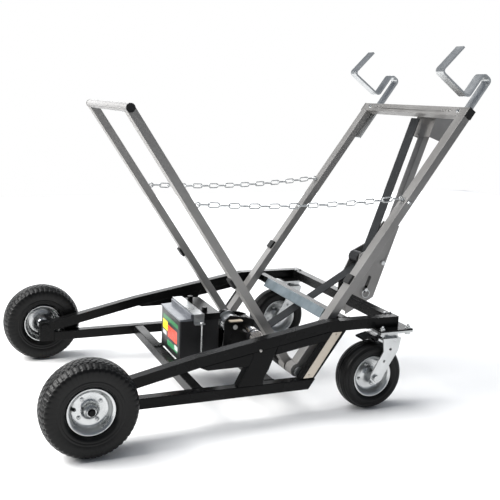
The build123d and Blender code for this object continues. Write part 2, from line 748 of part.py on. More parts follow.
for side, sign in sides:
    cy = sign * castor_y
    # Black pad under the corner of the frame, then the fixed top plate with its kingpin
    with BuildPart() as castor_pad:
        with Locations((st(castor_x), cy, (plate_top + frame_under) / 2)):
            Box(114.0, 102.0, frame_under - plate_top)
    with BuildPart() as castor_plate:
        with Locations((st(castor_x), cy, (plate_top + plate_bottom) / 2)):
            Box(114.0, 102.0, plate_top - plate_bottom)
        pin_len = plate_bottom - crown_bottom + 6.0
        with Locations((st(castor_x), cy, crown_bottom - 6.0)):
            Cylinder(kingpin_r, pin_len, align=(Align.CENTER, Align.CENTER, Align.MIN))
        with Locations((st(castor_x), cy, crown_bottom - 8.0)):
            Cylinder(11.0, 7.5, align=(Align.CENTER, Align.CENTER, Align.MIN))
        with Locations((st(castor_x), cy, plate_bottom)):
            with GridLocations(92.0, 80.0, 2, 2):
                Cylinder(8.0, 7.0, align=(Align.CENTER, Align.CENTER, Align.MAX))
    pad_and_plate = Compound(children=castor_pad.part.solids() + castor_plate.part.solids())
    pad_and_plate.label = "castor_plate_" + side
    export_step(pad_and_plate, "parts/castor_plate_" + side + ".step")

    # Swivel fork: crown, two legs and the axle bolt
    with BuildPart() as castor_fork:
        with Locations((st(castor_x), cy, crown_bottom)):
            Cylinder(32.0, crown_top - crown_bottom, align=(Align.CENTER, Align.CENTER, Align.MIN))
        with Locations((st(castor_x - 12.0), cy, crown_bottom - 0.1)):
            Box(64.0, 92.0, 5.0, align=(Align.CENTER, Align.CENTER, Align.MIN))
        for y in (46.0, -41.0):
            with BuildSketch(side_plane(cy + y)):
                Polygon(
                    (st(castor_x - 44.0), crown_bottom + 4.9),
                    (st(castor_x + 20.0), crown_bottom + 4.9),
                    (st(castor_x + 12.0), 190.0),
                    (st(castor_x - 14.0), 150.0),
                    (st(castor_wheel_x + 20.0), castor_r - 8.0),
                    (st(castor_wheel_x), castor_r - 20.0),
                    (st(castor_wheel_x - 20.0), castor_r - 2.0),
                    (st(castor_wheel_x - 16.0), castor_r + 16.0),
                    (st(castor_x - 40.0), 190.0),
                    align=None,
                )
            extrude(amount=5.0)
        with Locations((st(castor_x), cy, crown_bottom - 10.0)):
            Cylinder(
                kingpin_r + run_fit,
                40.0,
                align=(Align.CENTER, Align.CENTER, Align.MIN),
                mode=Mode.SUBTRACT,
            )
        with Locations((st(castor_x), cy, crown_bottom - 0.2)):
            Cylinder(kingpin_r + run_fit, 6.0, mode=Mode.SUBTRACT)
        with Locations(Location((st(castor_wheel_x), cy, castor_r), (90, 0, 0))):
            Cylinder(castor_axle_r, 108.0)
        for y in (-1, 1):
            with Locations(Location((st(castor_wheel_x), cy + y * 50.0, castor_r), (90, 0, 0))):
                Cylinder(10.5, 8.0)
        # Two holes through both legs
        for x, z in ((-16.0, 196.0), (-36.0, 160.0)):
            with Locations(Location((st(castor_x + x), cy, z), (90, 0, 0))):
                Cylinder(4.5, 110.0, mode=Mode.SUBTRACT)
    castor_fork.part.label = "castor_fork_" + side
    export_step(castor_fork.part, "parts/castor_fork_" + side + ".step")

    # Foot brake lever on the front of the fork
    with BuildPart() as brake_pedal:
        with BuildSketch(side_plane(cy + 24.0)):
            Polygon(
                (st(castor_x - 47.0), 220.0),
                (st(castor_x - 46.0), 235.0),
                (st(castor_x - 66.0), 238.0),
                (st(castor_x - 100.0), 230.0),
                (st(castor_x - 101.0), 225.0),
                (st(castor_x - 68.0), 232.0),
                (st(castor_x - 58.0), 218.5),
                align=None,
            )
        extrude(amount=48.0)
        # Round pin the lever turns on, just past both of its sides
        with Locations(Location((st(castor_x - 53.0), cy, 229.0), (90, 0, 0))):
            Cylinder(3.5, 54.0)
    brake_pedal.part.label = "brake_pedal_" + side
    export_step(brake_pedal.part, "parts/brake_pedal_" + side + ".step")

    centre = (st(castor_wheel_x), cy, castor_r)
    tyre = ring(
        tyre_profile(castor_r, castor_tyre_half, rim_seat_r, castor_rim_half),
        centre,
        "castor_tyre_" + side,
    )
    export_step(tyre, "parts/castor_tyre_" + side + ".step")

    with BuildPart() as castor_rim:
        with BuildSketch(Plane.XY):
            with BuildLine():
                Polyline(
                    (castor_axle_r + run_fit, -39.0),
                    (15.0, -39.0),
                    (15.0, -8.0),
                    (rim_seat_r - 2.8, -2.0),
                    (rim_seat_r - 2.8, -castor_rim_half + 2.8),
                    (rim_flange_r - 1.0, -castor_rim_half),
                    (rim_flange_r, -castor_rim_half + 1.0),
                    (rim_flange_r, -castor_rim_half + 3.0),
                    (rim_seat_r, -castor_rim_half + 3.2),
                    (rim_seat_r, castor_rim_half - 3.2),
                    (rim_flange_r, castor_rim_half - 3.0),
                    (rim_flange_r, castor_rim_half - 1.0),
                    (rim_flange_r - 1.0, castor_rim_half),
                    (rim_seat_r - 2.8, castor_rim_half - 2.8),
                    (rim_seat_r - 2.8, 2.0),
                    (15.0, 8.0),
                    (15.0, 39.0),
                    (castor_axle_r + run_fit, 39.0),
                    close=True,
                )
            make_face()
        revolve(axis=Axis.Y)
    rim_body = castor_rim.part.moved(Location(centre))
    rim_body.label = "castor_rim_" + side
    export_step(rim_body, "parts/castor_rim_" + side + ".step")

# ---------------------------------------------------------------- lift frame
bar_s = 949.0
bar_h = 31.75
for side, sign in sides:
    y = sign * lift_y
    with BuildPart() as lift_arm:
        with BuildSketch(tilted(pivot_x, pivot_z, lift_angle, 17.5, 0, y)):
            Rectangle(arm_d, arm_w)
        extrude(amount=bar_s - 17.5)
        with BuildSketch(tilted(pivot_x, pivot_z, lift_angle, 30.0, 0, y)):
            Rectangle(arm_d - 2 * arm_wall, arm_w - 2 * arm_wall)
        extrude(amount=bar_s - 30.0, mode=Mode.SUBTRACT)
        with Locations(Location((st(pivot_x), y, pivot_z), (90, 0, 0))):
            Cylinder(hub_r, arm_w)
            Cylinder(pivot_r + run_fit, arm_w + 2, mode=Mode.SUBTRACT)
    lift_arm.part.label = "lift_arm_" + side
    export_step(lift_arm.part, "parts/lift_arm_" + side + ".step")

with BuildPart() as cross_bar:
    with BuildSketch(tilted(pivot_x, pivot_z, lift_angle, bar_s)):
        Rectangle(arm_d, 2 * lift_y + arm_w)
    extrude(amount=bar_h)
    bar_px, bar_pz = along(pivot_x, pivot_z, lift_angle, bar_s + bar_h / 2, 0)
    with BuildSketch(side_plane(lift_y + arm_w / 2)):
        with Locations(Location((bar_px, bar_pz, 0), (0, 0, lift_angle))):
            Rectangle(bar_h - 4, arm_d - 4)
    extrude(amount=2 * lift_y + arm_w, mode=Mode.SUBTRACT)
    # A row of four small holes at each end lets the hooks be moved sideways
    front_face = tilted(pivot_x, pivot_z, lift_angle, bar_s + bar_h / 2, -arm_d / 2)
    hole_plane = Plane(origin=front_face.origin, x_dir=(0, 1, 0), z_dir=-front_face.x_dir)
    with BuildSketch(hole_plane):
        for i in range(4):
            for y in (-1, 1):
                with Locations((y * (226.0 - 16.0 * i), 0)):
                    Circle(2.6)
    extrude(amount=-5.0, mode=Mode.SUBTRACT)
cross_bar.part.label = "cross_bar"
export_step(cross_bar.part, "parts/cross_bar.step")

# Square plugs in the open ends of the cross bar
with BuildPart() as bar_plugs:
    for y in (-1, 1):
        with BuildSketch(side_plane(y * (lift_y + arm_w / 2) + (4.0 if y > 0 else 0.0))):
            with Locations(Location((bar_px, bar_pz, 0), (0, 0, lift_angle))):
                Rectangle(bar_h, arm_d)
        extrude(amount=4.0)
# Hood that drops over the mast head: front wall, two sides and a top
hood_half = 55.0
hood_t = 3.0
hood_front = mast_d / 2 + 2.0
with BuildPart() as mast_hood:
    for y in (hood_half, -hood_half + hood_t):
        with BuildSketch(side_plane(y)):
            Polygon(
                along(mast_x, mast_z, mast_angle, 590.0, -hood_front - hood_t),
                along(mast_x, mast_z, mast_angle, 590.0, 46.0),
                (st(1362.0), 897.0),
                along(mast_x, mast_z, mast_angle, 674.0, -hood_front - hood_t),
                align=None,
            )
        extrude(amount=hood_t)
    with BuildSketch(side_plane(hood_half)):
        Polygon(
            along(mast_x, mast_z, mast_angle, 590.0, -hood_front - hood_t),
            along(mast_x, mast_z, mast_angle, 590.0, -hood_front),
            along(mast_x, mast_z, mast_angle, 674.0, -hood_front),
            along(mast_x, mast_z, mast_angle, 674.0, -hood_front - hood_t),
            align=None,
        )
        Polygon(
            (along(pivot_x, pivot_z, lift_angle, 952.2, arm_d / 2)[0], 897.0),
            (st(1362.0), 897.0),
            (st(1362.0), 901.0),
            (along(pivot_x, pivot_z, lift_angle, 957.1, arm_d / 2)[0], 901.0),
            align=None,
        )
    extrude(amount=2 * hood_half)
mast_hood.part.label = "mast_hood"
export_step(mast_hood.part, "parts/mast_hood.step")

# Cradle hooks bent from flat bar, drawn along the middle of the bar
hook_line = [
    (842.0, 0.0),
    (1106.0, 0.0),
    (1106.0, -35.0),
    (1013.0, -35.0),
    (1013.0, -168.0),
    (1119.0, -151.0),
]
hook_back = arm_d / 2 + hook_t / 2
for side, sign in sides:
    with BuildPart() as hook:
        with BuildLine() as hook_path:
            points = [along(pivot_x, pivot_z, lift_angle, s, t + hook_back) for s, t in hook_line]
            FilletPolyline(*[(px, sign * hook_y, pz) for px, pz in points], radius=12.0)
        with BuildSketch(tilted(pivot_x, pivot_z, lift_angle, hook_line[0][0], hook_back, sign * hook_y)):
            Rectangle(hook_t, hook_w)
        sweep(transition=Transition.ROUND)
        for s in (994.0, 1012.0):
            px, pz = along(pivot_x, pivot_z, lift_angle, s, hook_back)
            with Locations(Location((px, sign * hook_y, pz), (0, 90 - lift_angle + 90, 0))):
                Cylinder(3.0, 20.0, mode=Mode.SUBTRACT)
    hook.part.label = "hook_" + side
    export_step(hook.part, "parts/hook_" + side + ".step")

# Round-head bolts: hook bolts on the cross bar and chain bolts on the outer faces of the arms
with BuildPart() as lift_bolts:
    for sign in (-1, 1):
        px, pz = along(pivot_x, pivot_z, lift_angle, bar_s + bar_h / 2, -arm_d / 2)
        bolt_at = Plane(origin=(px, sign * hook_y, pz), x_dir=(0, 1, 0), z_dir=-front_face.x_dir)
        with Locations(Location(bolt_at)):
            Cone(6.5, 4.0, 4.0, align=(Align.CENTER, Align.CENTER, Align.MIN))
        px, pz = along(pivot_x, pivot_z, lift_angle, bar_s + bar_h / 2, arm_d / 2 + hook_t)
        bolt_at = Plane(origin=(px, sign * hook_y, pz), x_dir=(0, 1, 0), z_dir=front_face.x_dir)
        with Locations(Location(bolt_at)):
            Cylinder(6.5, 6.0, align=(Align.CENTER, Align.CENTER, Align.MIN))
        px, pz = along(pivot_x, pivot_z, lift_angle, 623.0, 0)
        with Locations(Location((px, sign * (lift_y + arm_w / 2), pz), (-90 * sign, 0, 0))):
            Cone(6.5, 4.5, 3.5, align=(Align.CENTER, Align.CENTER, Align.MIN))
# Rubber rest blocks on the front faces of the arms
with BuildPart() as lift_rests:
    for sign in (-1, 1):
        px, pz = along(pivot_x, pivot_z, lift_angle, 323.0, -arm_d / 2)
        rest_at = Plane(origin=(px, sign * lift_y, pz), x_dir=(0, 1, 0), z_dir=-front_face.x_dir)
        with Locations(Location(rest_at)):
            Box(30.0, 30.0, 8.0, align=(Align.CENTER, Align.CENTER, Align.MIN))
plugs_and_rests = Compound(children=bar_plugs.part.solids() + lift_rests.part.solids())
plugs_and_rests.label = "lift_rubbers"
export_step(plugs_and_rests, "parts/lift_rubbers.step")

# ---------------------------------------------------------------- push frame
for side, sign in sides:
    y = sign * push_y
    with BuildPart() as push_arm:
        with BuildSketch(tilted(pivot_x, pivot_z, push_angle, 18.0, 0, y)):
            Rectangle(arm_d, arm_w)
        extrude(amount=push_len - 22.0)
        with BuildSketch(tilted(pivot_x, pivot_z, push_angle, 30.0, 0, y)):
            Rectangle(arm_d - 2 * arm_wall, arm_w - 2 * arm_wall)
        extrude(amount=push_len - 34.0, mode=Mode.SUBTRACT)
        with Locations(Location((st(pivot_x), y, pivot_z), (90, 0, 0))):
            Cylinder(hub_r, arm_w)
            Cylinder(pivot_r + run_fit, arm_w + 2, mode=Mode.SUBTRACT)
        bar_x, bar_z = along(pivot_x, pivot_z, push_angle, push_len, 0)
        with Locations(Location((bar_x, y, bar_z), (90, 0, 0))):
            Cylinder(bar_r, arm_w + 2, mode=Mode.SUBTRACT)
    push_arm.part.label = "push_arm_" + side
    export_step(push_arm.part, "parts/push_arm_" + side + ".step")

bar_x, bar_z = along(pivot_x, pivot_z, push_angle, push_len, 0)
bar_half = push_y + arm_w / 2
with BuildPart() as push_bar:
    with Locations(Location((bar_x, 0, bar_z), (90, 0, 0))):
        Cylinder(bar_r, 2 * bar_half)
        Cylinder(bar_r - 2, 2 * bar_half + 2, mode=Mode.SUBTRACT)
push_bar.part.label = "push_bar"
export_step(push_bar.part, "parts/push_bar.step")

with BuildPart() as bar_caps:
    for y in (-1, 1):
        with Locations(Location((bar_x, y * bar_half, bar_z), (-90 * y, 0, 0))):
            Cylinder(bar_r + 0.3, 4.0, align=(Align.CENTER, Align.CENTER, Align.MIN))
# Tube that joins the feet of the two arms round the pivot shaft
with BuildPart() as push_hub:
    with Locations(Location((st(pivot_x), 0, pivot_z), (90, 0, 0))):
        Cylinder(hub_r, 2 * (push_y - arm_w / 2))
        Cylinder(hub_r - 3, 2 * push_y, mode=Mode.SUBTRACT)
push_hub.part.label = "push_hub"
export_step(push_hub.part, "parts/push_hub.step")

# Rubber rest blocks that land on the front cross tube
push_back = tilted(pivot_x, pivot_z, push_angle, 0, 0).x_dir
with BuildPart() as push_rests:
    for sign in (-1, 1):
        px, pz = along(pivot_x, pivot_z, push_angle, 334.0, -arm_d / 2)
        rest_at = Plane(origin=(px, sign * push_y, pz), x_dir=(0, 1, 0), z_dir=-push_back)
        with Locations(Location(rest_at)):
            Box(30.0, 30.0, 8.0, align=(Align.CENTER, Align.CENTER, Align.MIN))
caps_and_rests = Compound(children=bar_caps.part.solids() + push_rests.part.solids())
caps_and_rests.label = "push_rubbers"
export_step(caps_and_rests, "parts/push_rubbers.step")

# ---------------------------------------------------------------- chains
wire_r = 2.0
links = 21
sag = 14.0
push_hold = along(pivot_x, pivot_z, push_angle, 595.0, arm_d / 2)
lift_hold = along(pivot_x, pivot_z, lift_angle, 623.0, -arm_d / 2)

# Eyes that hold the chain ends, each with a pad that sits on the face of its arm
for frame_name, hold, y0, angle, face in (
    ("lift", lift_hold, lift_y, lift_angle, -1),
    ("push", push_hold, push_y, push_angle, 1),
):
    with BuildPart() as eyes:
        for sign in (-1, 1):
            a = radians(angle)
            out = (face * sin(a), 0, -face * cos(a))
            eye_at = Plane(origin=(hold[0], sign * y0, hold[1]), x_dir=(0, 1, 0), z_dir=out)
            with Locations(Location(eye_at)):
                Cylinder(7.0, 3.0, align=(Align.CENTER, Align.CENTER, Align.MIN))
                with Locations(Location((0, 0, 9.0), (0, 90, 0))):
                    Torus(7.0, 1.8)
    held = eyes.part.solids()
    if frame_name == "lift":
        held = held + lift_bolts.part.solids()
    fasteners = Compound(children=held)
    fasteners.label = frame_name + "_fasteners"
    export_step(fasteners, "parts/" + frame_name + "_fasteners.step")

for side, sign in sides:
    a = radians(push_angle)
    start = Vector(push_hold[0] + 11.0 * sin(a), sign * push_y, push_hold[1] - 11.0 * cos(a))
    a = radians(lift_angle)
    end = Vector(lift_hold[0] - 11.0 * sin(a), sign * lift_y, lift_hold[1] + 11.0 * cos(a))
    span = end - start
    pitch = span.length / links
    straight = pitch + 2 * wire_r - 14.0
    with BuildPart() as link:
        with BuildLine() as link_path:
            with Locations((0, 0, 0)):
                Line((-straight / 2, 7.0), (straight / 2, 7.0))
                CenterArc((straight / 2, 0), 7.0, 90, -180)
                Line((straight / 2, -7.0), (-straight / 2, -7.0))
                CenterArc((-straight / 2, 0), 7.0, -90, -180)
        with BuildSketch(Plane(origin=(-straight / 2, 7.0, 0), x_dir=(0, 1, 0), z_dir=(1, 0, 0))):
            Circle(wire_r)
        sweep()
    chain_links = []
    for i in range(links):
        u0 = i / links
        u1 = (i + 1) / links
        p0 = start + span * u0 + Vector(0, 0, -4 * sag * u0 * (1 - u0))
        p1 = start + span * u1 + Vector(0, 0, -4 * sag * u1 * (1 - u1))
        facing = Vector(0, 1, 0) if i % 2 else Vector(0, 0, 1)
        seat = Plane(origin=(p0 + p1) * 0.5, x_dir=p1 - p0, z_dir=facing)
        chain_links.append(link.part.moved(Location(seat)))
    chain = Compound(children=chain_links)
    chain.label = "chain_" + side
    export_step(chain, "parts/chain_" + side + ".step")
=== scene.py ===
import json
from math import cos, pi, radians, sin

import bmesh
import bpy
from mathutils import Matrix, Vector


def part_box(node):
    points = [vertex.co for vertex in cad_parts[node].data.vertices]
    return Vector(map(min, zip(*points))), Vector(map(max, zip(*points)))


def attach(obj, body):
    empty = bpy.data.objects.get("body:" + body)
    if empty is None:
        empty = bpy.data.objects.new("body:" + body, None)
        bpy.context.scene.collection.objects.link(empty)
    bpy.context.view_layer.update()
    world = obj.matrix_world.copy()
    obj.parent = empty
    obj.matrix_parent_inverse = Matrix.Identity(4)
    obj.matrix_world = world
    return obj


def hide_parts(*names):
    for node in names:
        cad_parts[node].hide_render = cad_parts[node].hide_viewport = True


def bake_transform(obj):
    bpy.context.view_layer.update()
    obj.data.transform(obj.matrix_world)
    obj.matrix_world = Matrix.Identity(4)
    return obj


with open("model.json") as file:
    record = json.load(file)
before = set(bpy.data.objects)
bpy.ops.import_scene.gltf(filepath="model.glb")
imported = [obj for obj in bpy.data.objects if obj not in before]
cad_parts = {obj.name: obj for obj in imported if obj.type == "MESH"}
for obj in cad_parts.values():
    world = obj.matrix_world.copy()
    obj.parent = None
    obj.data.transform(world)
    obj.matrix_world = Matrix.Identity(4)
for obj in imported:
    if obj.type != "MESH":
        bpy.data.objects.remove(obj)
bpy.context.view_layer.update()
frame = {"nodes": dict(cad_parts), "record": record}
nodes = frame["nodes"]
scene = bpy.context.scene

SIDES = (("left", -1), ("right", 1))
FINE_GRAIN = 420.0


# ------------------------------------------------------------------ materials
def node_tree(name):
    """New material, its node tree and its shader."""
    mat = bpy.data.materials.new(name)
    mat.use_nodes = True
    tree = mat.node_tree
    shader = tree.nodes["Principled BSDF"]
    return mat, tree, shader


def add(tree, kind, **values):
    """New node. Names that start with in_ set its sockets, the others its own settings."""
    node = tree.nodes.new(kind)
    for key, value in values.items():
        if key.startswith("in_"):
            node.inputs[key[3:].replace("_", " ")].default_value = value
        else:
            setattr(node, key, value)
    return node


def coords(tree):
    """Object coordinates, so a finish rides with its piece."""
    return add(tree, "ShaderNodeTexCoord").outputs["Object"]


def noise(tree, where, scale, detail=4.0, rough=0.55):
    """Grey noise at the given coordinates."""
    node = add(tree, "ShaderNodeTexNoise", in_Scale=scale, in_Detail=detail, in_Roughness=rough)
    tree.links.new(where, node.inputs["Vector"])
    return node.outputs["Fac"]


def stretch(tree, where, scale):
    """Coordinates scaled unevenly, for grain that runs one way."""
    node = add(tree, "ShaderNodeMapping", in_Scale=scale)
    tree.links.new(where, node.inputs["Vector"])
    return node.outputs["Vector"]


def ramp(tree, value, low, high, a=0.3, b=0.7):
    """Colour that goes from low to high as the value goes from a to b."""
    node = add(tree, "ShaderNodeValToRGB")
    node.color_ramp.elements[0].position = a
    node.color_ramp.elements[0].color = (*low, 1)
    node.color_ramp.elements[1].position = b
    node.color_ramp.elements[1].color = (*high, 1)
    tree.links.new(value, node.inputs["Fac"])
    return node.outputs["Color"]


def spread(tree, value, low, high, a=0.25, b=0.75):
    """Number that goes from low to high as the value goes from a to b."""
    node = add(tree, "ShaderNodeMapRange")
    node.inputs["From Min"].default_value = a
    node.inputs["From Max"].default_value = b
    node.inputs["To Min"].default_value = low
    node.inputs["To Max"].default_value = high
    tree.links.new(value, node.inputs["Value"])
    return node.outputs["Result"]


def bump(tree, shader, height, strength, distance):
    """Fine relief on a shader's normal."""
    node = add(tree, "ShaderNodeBump", in_Strength=strength, in_Distance=distance)
    tree.links.new(height, node.inputs["Height"])
    tree.links.new(node.outputs["Normal"], shader.inputs["Normal"])


def surface(name, low, high, metal, rough, patch=9.0, grain=None, height=0.04, depth=0.0001, shine=0.5):
    """Paint, plate, plastic or rubber: mottled colour, uneven gloss and a fine bump."""
    mat, tree, shader = node_tree(name)
    where = coords(tree)
    broad = noise(tree, where, patch)
    fine_at = stretch(tree, where, grain) if grain else where
    fine = noise(tree, fine_at, 1.0 if grain else FINE_GRAIN, 3.0)
    tree.links.new(ramp(tree, broad, low, high), shader.inputs["Base Color"])
    tree.links.new(spread(tree, broad, rough[0], rough[1]), shader.inputs["Roughness"])
    shader.inputs["Metallic"].default_value = metal
    shader.inputs["Specular IOR Level"].default_value = shine
    bump(tree, shader, fine, height, depth)
    return mat


def masked(name, first, second, axis, limit, above=True):
    """Two finishes in one material, split at a plane across one axis of the model."""
    mat, tree, shader = node_tree(name)
    where = coords(tree)
    split = add(tree, "ShaderNodeSeparateXYZ")
    tree.links.new(where, split.inputs["Vector"])
    value = split.outputs[axis]
    step = add(tree, "ShaderNodeMath", operation="GREATER_THAN" if above else "LESS_THAN")
    step.inputs[1].default_value = limit
    tree.links.new(value, step.inputs[0])
    broad = noise(tree, where, 12.0)
    fine = noise(tree, where, FINE_GRAIN, 3.0)
    for socket, pick in (("Base Color", 0), ("Metallic", 1), ("Roughness", 2)):
        mix = add(tree, "ShaderNodeMix", data_type="RGBA" if pick == 0 else "FLOAT")
        a, b, out = (6, 7, 2) if pick == 0 else (2, 3, 0)
        tree.links.new(step.outputs[0], mix.inputs[0])
        if pick == 0:
            tree.links.new(ramp(tree, broad, *first[0]), mix.inputs[a])
            tree.links.new(ramp(tree, broad, *second[0]), mix.inputs[b])
        else:
            mix.inputs[a].default_value = first[pick]
            mix.inputs[b].default_value = second[pick]
        tree.links.new(mix.outputs[out], shader.inputs[socket])
    shader.inputs["Specular IOR Level"].default_value = 0.1
    bump(tree, shader, fine, 0.03, 0.0001)
    return mat


# Finishes that share a piece with another: colour range, metallic, roughness
BLACK = (((0.003, 0.003, 0.003), (0.007, 0.007, 0.007)), 0.0, 0.26)
ZINC = (((0.44, 0.45, 0.45), (0.60, 0.61, 0.61)), 1.0, 0.33)
BEIGE = (((0.52, 0.45, 0.36), (0.62, 0.54, 0.44)), 0.3, 0.4)
PAD = (((0.16, 0.20, 0.22), (0.30, 0.35, 0.38)), 0.9, 0.34)
GREY_LID = (((0.13, 0.135, 0.15), (0.23, 0.24, 0.26)), 0.35, 0.24)
# Planes that part them: foot of the castor pad, edge of the galvanised bar, and edge of the battery strap
PAD_FOOT_Z = 0.2531
BAR_EDGE_X = 0.18525
LID_EDGE_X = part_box("battery_clamp")[1][0] + 0.0003

black_paint = surface("black_gloss_paint", *BLACK[0], 0.0, (0.20, 0.32), height=0.04, shine=0.1)
silver_paint = surface(
    "silver_powder_coat", (0.205, 0.198, 0.19), (0.255, 0.248, 0.24), 0.4, (0.28, 0.38))
grey_paint = surface(
    "grey_powder_coat", (0.23, 0.223, 0.213), (0.29, 0.282, 0.272), 0.45, (0.38, 0.48))
zinc = surface("bright_zinc", *ZINC[0], 1.0, (0.24, 0.34), patch=14.0, height=0.005)
chrome = surface(
    "polished_can", (0.84, 0.80, 0.77), (0.92, 0.89, 0.86), 1.0, (0.12, 0.22), patch=22.0, height=0.01)
rubber = surface(
    "tyre_rubber", (0.0022, 0.0022, 0.0022), (0.005, 0.005, 0.0048), 0.0, (0.30, 0.42),
    patch=16.0, height=0.06, shine=0.2)
soft_rubber = surface(
    "soft_rubber", (0.010, 0.010, 0.010), (0.019, 0.019, 0.019), 0.0, (0.5, 0.68), height=0.2, shine=0.25)
plastic = surface(
    "moulded_black", (0.004, 0.004, 0.005), (0.010, 0.010, 0.011), 0.0, (0.28, 0.42), height=0.1, shine=0.25)
grey_plastic = surface("moulded_grey", (0.17, 0.18, 0.20), (0.26, 0.27, 0.29), 0.0, (0.25, 0.42), height=0.08)
trim = surface(
    "brushed_trim", (0.42, 0.37, 0.31), (0.56, 0.51, 0.44), 0.85, (0.3, 0.42), grain=(90.0, 90.0, 1400.0))
worn_steel = surface("worn_steel", (0.30, 0.29, 0.27), (0.44, 0.43, 0.41), 1.0, (0.3, 0.5), patch=60.0)
pad_and_plate = masked("zinc_plate_and_pad", ZINC, BLACK, "Z", PAD_FOOT_Z)
tube_and_bar = masked("black_tube_and_bar", BLACK, PAD, "X", BAR_EDGE_X, above=False)
lid_and_caps = masked("grey_lid_and_caps", GREY_LID, BLACK, "X", LID_EDGE_X)
tag_paint = surface("winch_tag_paint", *BEIGE[0], 0.2, (0.3, 0.42), patch=50.0)


def webbing_material():
    """Flat woven strap: ribs along it and cross threads."""
    mat, tree, shader = node_tree("woven_webbing")
    where = coords(tree)
    ribs = add(tree, "ShaderNodeTexWave", bands_direction="Y", in_Scale=95.0, in_Distortion=0.4)
    threads = add(tree, "ShaderNodeTexWave", bands_direction="Z", in_Scale=150.0, in_Distortion=0.6)
    tree.links.new(where, ribs.inputs["Vector"])
    tree.links.new(where, threads.inputs["Vector"])
    both = add(tree, "ShaderNodeMath", operation="MULTIPLY")
    tree.links.new(ribs.outputs["Fac"], both.inputs[0])
    tree.links.new(threads.outputs["Fac"], both.inputs[1])
    colour = ramp(tree, both.outputs[0], (0.006, 0.007, 0.008), (0.019, 0.021, 0.024), 0.1, 0.9)
    tree.links.new(colour, shader.inputs["Base Color"])
    tree.links.new(spread(tree, noise(tree, where, 30.0), 0.68, 0.85), shader.inputs["Roughness"])
    shader.inputs["Sheen Weight"].default_value = 0.06
    shader.inputs["Specular IOR Level"].default_value = 0.2
    bump(tree, shader, both.outputs[0], 0.5, 0.0004)
    return mat


def label_material():
    """Plain coloured blocks for the front of the battery, with no lettering."""
    lo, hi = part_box("battery_case")
    mat, tree, shader = node_tree("battery_label_blocks")
    where = coords(tree)
    split = add(tree, "ShaderNodeSeparateXYZ")
    tree.links.new(where, split.inputs["Vector"])
    wobble = noise(tree, where, 60.0)
    colour = ramp(tree, wobble, (0.006, 0.007, 0.007), (0.014, 0.016, 0.015))
    # Each block: colour, then its Y range, then its Z range above the case's foot
    blocks = (
        ((0.02, 0.16, 0.05), -0.078, 0.075, 0.098, 0.112),
        ((0.80, 0.62, 0.02), 0.028, 0.080, 0.062, 0.094),
        ((0.62, 0.05, 0.02), -0.070, 0.026, 0.046, 0.086),
        ((0.55, 0.56, 0.56), 0.040, 0.078, 0.044, 0.058),
        ((0.02, 0.20, 0.07), -0.075, 0.030, 0.018, 0.036),
        ((0.50, 0.56, 0.52), -0.078, -0.046, 0.024, 0.040),
    )
    for rgb, y0, y1, z0, z1 in blocks:
        gate = None
        for axis, limit, side in (("Y", y0, "GREATER_THAN"), ("Y", y1, "LESS_THAN"),
                                  ("Z", lo[2] + z0, "GREATER_THAN"), ("Z", lo[2] + z1, "LESS_THAN")):
            test = add(tree, "ShaderNodeMath", operation=side)
            test.inputs[1].default_value = limit
            tree.links.new(split.outputs[axis], test.inputs[0])
            if gate is None:
                gate = test.outputs[0]
            else:
                both = add(tree, "ShaderNodeMath", operation="MULTIPLY")
                tree.links.new(gate, both.inputs[0])
                tree.links.new(test.outputs[0], both.inputs[1])
                gate = both.outputs[0]
        mix = add(tree, "ShaderNodeMix", data_type="RGBA")
        mix.inputs[7].default_value = (*rgb, 1)
        tree.links.new(gate, mix.inputs[0])
        tree.links.new(colour, mix.inputs[6])
        colour = mix.outputs[2]
    tree.links.new(colour, shader.inputs["Base Color"])
    tree.links.new(spread(tree, wobble, 0.25, 0.4), shader.inputs["Roughness"])
    return mat


webbing = webbing_material()

FINISH = {
    "frame_black": black_paint,
    "frame_silver": silver_paint,
    "frame_grey": grey_paint,
    "zinc": zinc,
    "tyre": rubber,
    "black_plastic": plastic,
    "grey_plastic": grey_plastic,
    "webbing": webbing,
    "motor_chrome": chrome,
    "trim": trim,
    "rubber": soft_rubber,
}
SPECIAL = {
    "castor_plate_left": pad_and_plate,
    "castor_plate_right": pad_and_plate,
    "mid_tube": tube_and_bar,
    "battery_lid": lid_and_caps,
    "guide_roller": plastic,
}
slot_of = {row["node"]: row["material_slot"] for row in frame["record"]["subparts"]}
for name, obj in nodes.items():
    finish = SPECIAL.get(name, FINISH[slot_of[name]])
    for place in obj.material_slots:
        place.material = finish

# Widths of the rolled corners on the square tubes and folded plates
ROUNDED = {
    "top_rail_left": 0.0024, "top_rail_right": 0.0024, "lower_rail_left": 0.0024, "lower_rail_right": 0.0024,
    "rear_post_left": 0.0022, "rear_post_right": 0.0022, "rear_tube": 0.0022, "mid_tube": 0.0016,
    "front_tube": 0.0024, "winch_tube": 0.0024, "mast_tube": 0.0022, "cross_bar": 0.0018,
    "lift_arm_left": 0.0020, "lift_arm_right": 0.0020, "push_arm_left": 0.0020, "push_arm_right": 0.0020,
    "mid_post_left": 0.0018, "mid_post_right": 0.0018,
    "brake_pedal_left": 0.0012, "brake_pedal_right": 0.0012,
    "battery_lid": 0.0016, "battery_clamp": 0.0006,
    "mast_foot": 0.0007, "mast_hood": 0.0007, "tray_bars": 0.0005, "castor_fork_left": 0.0008,
    "castor_fork_right": 0.0008, "winch_frame": 0.0008,
    "castor_plate_left": 0.0008, "castor_plate_right": 0.0008,
}
for name, width in ROUNDED.items():
    weld = nodes[name].modifiers.new("weld", "WELD")
    weld.merge_threshold = 0.00001
    soften = nodes[name].modifiers.new("soften", "BEVEL")
    soften.width = width
    soften.segments = 3
    soften.limit_method = "ANGLE"
    soften.angle_limit = radians(40)
    soften.use_clamp_overlap = True
    shade = nodes[name].modifiers.new("shade", "WEIGHTED_NORMAL")
    shade.keep_sharp = True


